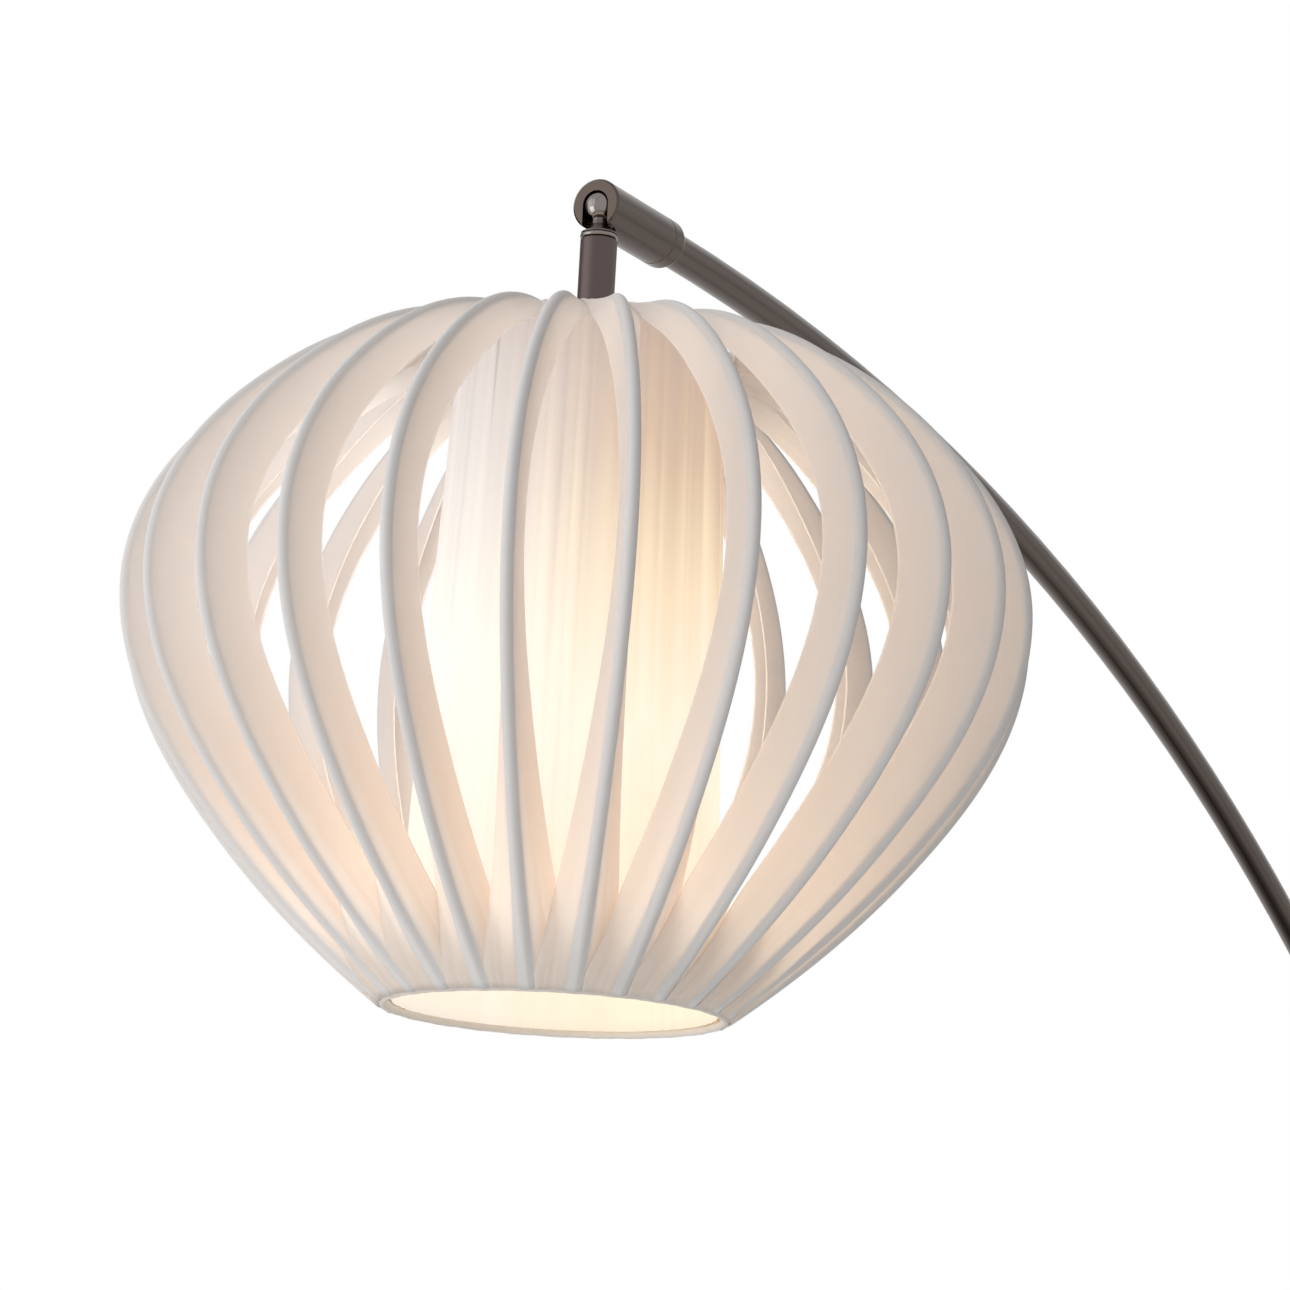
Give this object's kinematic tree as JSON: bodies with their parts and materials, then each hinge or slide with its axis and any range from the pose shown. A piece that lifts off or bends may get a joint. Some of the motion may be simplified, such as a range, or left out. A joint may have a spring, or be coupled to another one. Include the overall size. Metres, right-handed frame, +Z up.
{
  "type": "arc floor lamp",
  "caption": "Arc floor lamp: a slim quarter-circle tube from a round weighted base carries a ribbed onion-shaped fabric shade on a slotted ball swivel.",
  "frame": {"origin": "on the floor, under the middle of the round base", "axes": "+Z up; the arc lies in the XZ plane and its tip and the shade are towards -X; the lead enters at the rear edge, towards +X"},
  "size_m": [2.1218, 0.3814, 2.0384],
  "materials": {
    "gunmetal": "glossy black-nickel",
    "dark_chrome": "polished dark chrome",
    "cast_iron": "rough black paint",
    "steel": "zinc plated",
    "felt": "pressed felt",
    "black_rubber": "matte",
    "lead_sheath": "matte",
    "seat_plastic": "satin",
    "white_enamel": "powder coated",
    "sleeve_cloth": "stretch knit, off-white",
    "diffuser_cloth": "pleated translucent cloth",
    "holder_plastic": "satin white",
    "ceramic": "glazed",
    "brass": "plain",
    "bulb_metal": "bright",
    "frosted_glass": "frosted white"
  },
  "bodies": {
    "root": {"base_weight": "cast_iron", "base_cover": "gunmetal", "floor_pads": "felt", "base_collar": "gunmetal", "base_stud": "steel", "base_nut": "steel", "cord_gland": "black_rubber", "arc_section_lower": "gunmetal", "arc_section_middle": "gunmetal", "arc_section_upper": "gunmetal", "ferrule_lower": "gunmetal", "ferrule_upper": "gunmetal", "grub_screws": "steel", "arm_lead": "lead_sheath", "swivel_head": "gunmetal", "swivel_tail": "gunmetal", "ball_seat": "seat_plastic", "friction_springs": "steel"},
    "swivel": {"ball_stem": "dark_chrome", "swivel_collar": "dark_chrome"},
    "shade": {"drop_stem": "gunmetal", "shade_nipple": "steel", "stem_lead": "lead_sheath", "shade_spider": "white_enamel", "bottom_ring": "white_enamel", "hem_band": "sleeve_cloth", "rib_wires": "white_enamel", "diffuser": "diffuser_cloth", "holder_cap": "holder_plastic", "holder_body": "holder_plastic", "holder_ring": "holder_plastic", "holder_core": "ceramic", "holder_contacts": "brass", "bulb_cap": "bulb_metal", "bulb_glass": "frosted_glass", "rib_sleeve_01": "sleeve_cloth", "rib_sleeve_02": "sleeve_cloth", "rib_sleeve_03": "sleeve_cloth", "rib_sleeve_04": "sleeve_cloth", "rib_sleeve_05": "sleeve_cloth", "rib_sleeve_06": "sleeve_cloth", "rib_sleeve_07": "sleeve_cloth", "rib_sleeve_08": "sleeve_cloth", "rib_sleeve_09": "sleeve_cloth", "rib_sleeve_10": "sleeve_cloth", "rib_sleeve_11": "sleeve_cloth", "rib_sleeve_12": "sleeve_cloth", "rib_sleeve_13": "sleeve_cloth", "rib_sleeve_14": "sleeve_cloth", "rib_sleeve_15": "sleeve_cloth", "rib_sleeve_16": "sleeve_cloth", "rib_sleeve_17": "sleeve_cloth", "rib_sleeve_18": "sleeve_cloth", "rib_sleeve_19": "sleeve_cloth", "rib_sleeve_20": "sleeve_cloth", "rib_sleeve_21": "sleeve_cloth", "rib_sleeve_22": "sleeve_cloth", "rib_sleeve_23": "sleeve_cloth", "rib_sleeve_24": "sleeve_cloth", "rib_sleeve_25": "sleeve_cloth"}
  },
  "joints": [
    {"name": "shade_tilt", "type": "hinge", "parent": "root", "child": "swivel", "pos_m": [-1.72571, 0, 2.02689], "axis": [0, 1, 0], "range_deg": [-4, 80]},
    {"name": "shade_turn", "type": "hinge", "parent": "swivel", "child": "shade", "pos_m": [-1.72571, 0, 2.02689], "axis": [-0.1139, 0, -0.9935], "range_deg": [-170, 170]}
  ]
}
